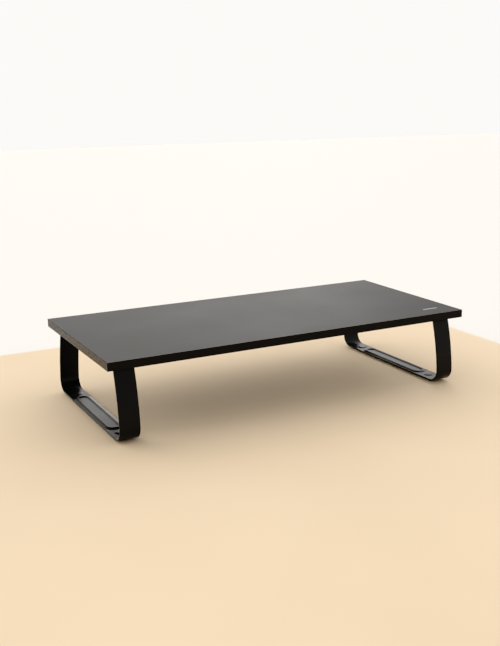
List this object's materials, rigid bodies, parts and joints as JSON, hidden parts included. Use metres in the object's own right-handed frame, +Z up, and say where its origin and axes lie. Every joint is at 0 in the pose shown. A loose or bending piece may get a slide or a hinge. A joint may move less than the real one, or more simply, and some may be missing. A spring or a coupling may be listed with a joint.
{
  "type": "monitor riser",
  "caption": "Low desktop riser: a rectangular faced board on two bent strip-steel legs, with open storage space below.",
  "frame": {"origin": "on the desk surface, below the middle of the board", "axes": "+X along the board's length to the right, +Y from front to back, +Z up"},
  "size_m": [0.6, 0.27, 0.12],
  "materials": {
    "core": "raw fibreboard",
    "facing": "satin melamine with a fine pearl texture",
    "edge_band": "satin with fine lengthwise grain",
    "leg_coat": "satin black powder coat",
    "foot_rubber": "matt",
    "screw_steel": "black oxide, satin",
    "insert_brass": "turned"
  },
  "bodies": {
    "root": {"board_core": "core", "top_facing": "facing", "bottom_facing": "facing", "front_edge_band": "edge_band", "rear_edge_band": "edge_band", "left_edge_band": "edge_band", "right_edge_band": "edge_band", "left_leg": "leg_coat", "right_leg": "leg_coat", "left_front_foot": "foot_rubber", "left_rear_foot": "foot_rubber", "right_front_foot": "foot_rubber", "right_rear_foot": "foot_rubber", "left_front_screws": "screw_steel", "left_rear_screws": "screw_steel", "right_front_screws": "screw_steel", "right_rear_screws": "screw_steel", "left_front_inserts": "insert_brass", "left_rear_inserts": "insert_brass", "right_front_inserts": "insert_brass", "right_rear_inserts": "insert_brass"}
  },
  "joints": []
}
